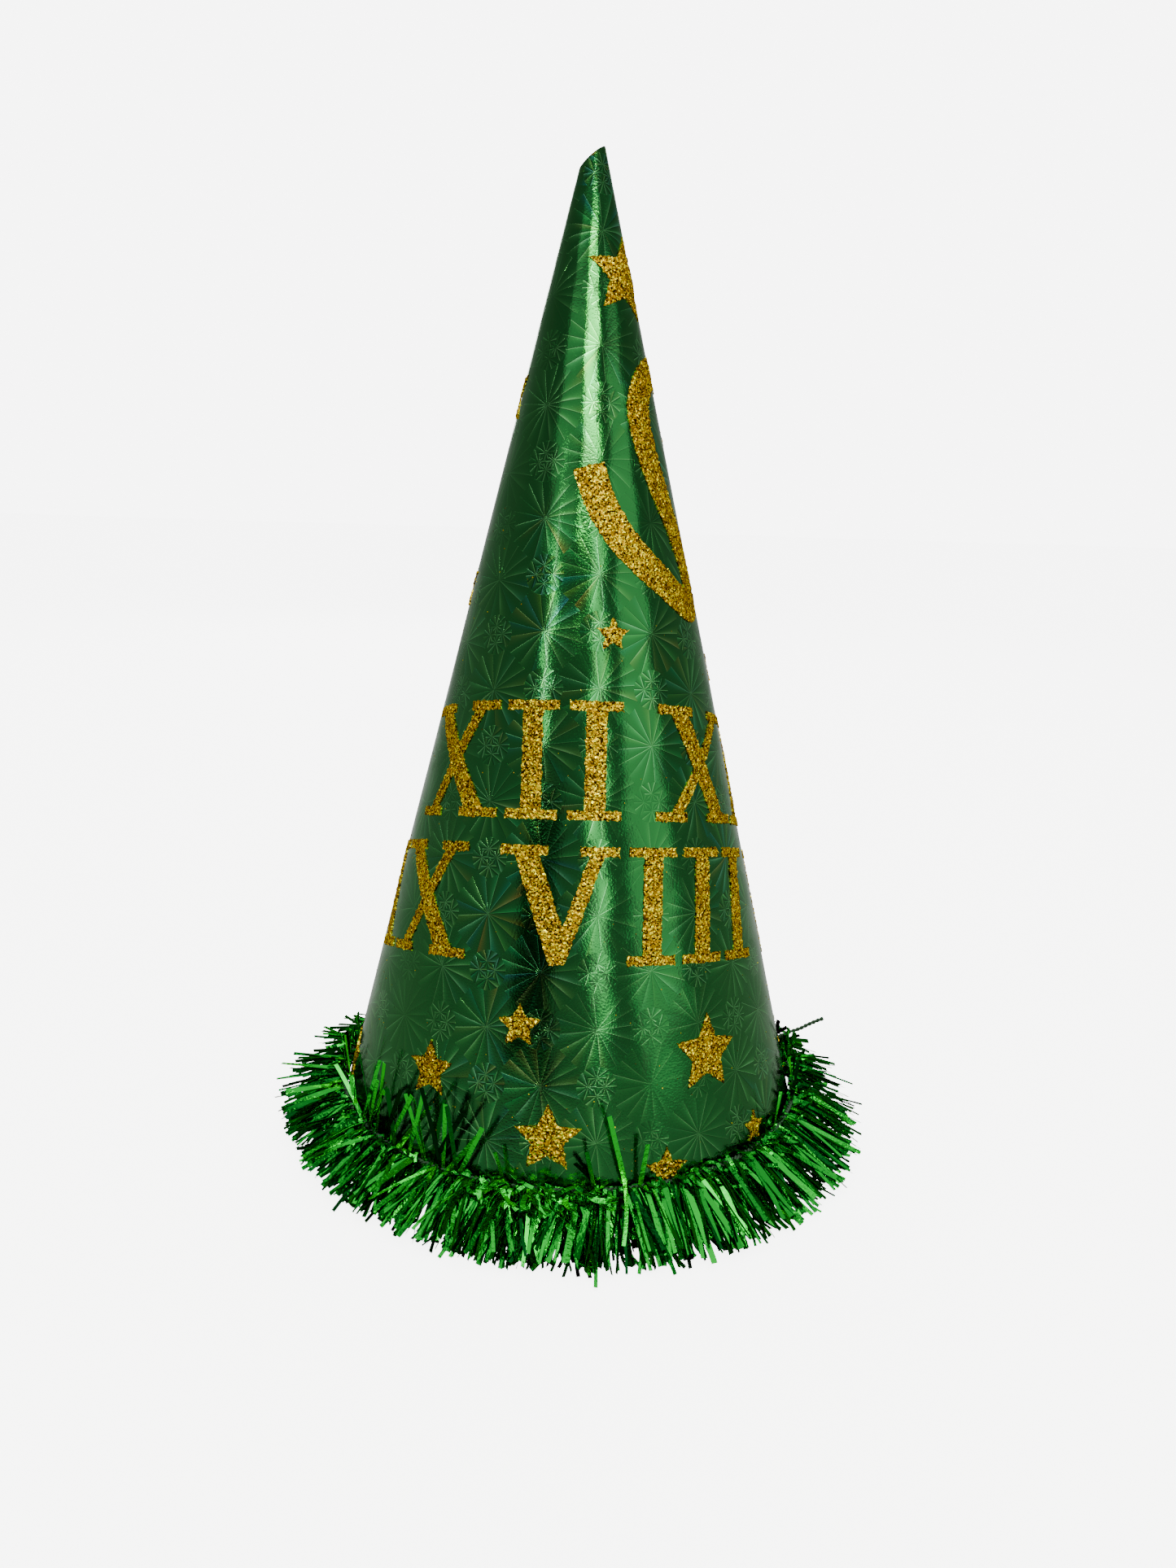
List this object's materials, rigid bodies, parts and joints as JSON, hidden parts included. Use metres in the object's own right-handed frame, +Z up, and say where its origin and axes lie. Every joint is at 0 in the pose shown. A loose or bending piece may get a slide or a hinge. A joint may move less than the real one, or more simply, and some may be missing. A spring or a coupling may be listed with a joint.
{
  "type": "party hat",
  "caption": "Tall open cone hat of holographic green foil board, with gold glitter dial numerals, stars and a streamer, and a green tinsel garland round the rim.",
  "frame": {"origin": "centre of the cone's rim, on the surface the hat stands on", "axes": "+Z up along the cone's axis towards the tip; -Y is the front, the side where the printed numerals stand upright; +X is to the right as the front is seen"},
  "size_m": [0.216, 0.216, 0.3269],
  "materials": {
    "foil_board": "green holographic starburst foil on thin board, plain pale board inside",
    "foil_overlap": "the same foil board, glued down as the overlap",
    "gold_glitter": "coarse gold glitter flakes in a raised print",
    "tinsel_foil": "cut strips of mirror-bright metallised green film",
    "tinsel_thread": "two thin threads twisted together, dull green"
  },
  "bodies": {
    "root": {"cone": "foil_board", "seam_flap": "foil_overlap", "numeral_upper_1": "gold_glitter", "numeral_upper_2": "gold_glitter", "numeral_upper_3": "gold_glitter", "numeral_upper_4": "gold_glitter", "numeral_upper_5": "gold_glitter", "numeral_upper_6": "gold_glitter", "numeral_lower_1": "gold_glitter", "numeral_lower_2": "gold_glitter", "numeral_lower_3": "gold_glitter", "numeral_lower_4": "gold_glitter", "numeral_lower_5": "gold_glitter", "numeral_lower_6": "gold_glitter", "numeral_lower_7": "gold_glitter", "numeral_lower_8": "gold_glitter", "numeral_lower_9": "gold_glitter", "streamer": "gold_glitter", "star_01": "gold_glitter", "star_02": "gold_glitter", "star_03": "gold_glitter", "star_04": "gold_glitter", "star_05": "gold_glitter", "star_06": "gold_glitter", "star_07": "gold_glitter", "star_08": "gold_glitter", "star_09": "gold_glitter", "star_10": "gold_glitter", "star_11": "gold_glitter", "star_12": "gold_glitter", "star_13": "gold_glitter", "star_14": "gold_glitter", "star_15": "gold_glitter", "star_16": "gold_glitter", "star_17": "gold_glitter", "star_18": "gold_glitter", "star_19": "gold_glitter", "star_20": "gold_glitter", "star_21": "gold_glitter", "star_22": "gold_glitter", "star_23": "gold_glitter", "star_24": "gold_glitter", "star_25": "gold_glitter", "star_26": "gold_glitter", "tinsel_core": "tinsel_thread", "tinsel_skirt": "tinsel_foil", "tinsel_tufts": "tinsel_foil"}
  },
  "joints": []
}
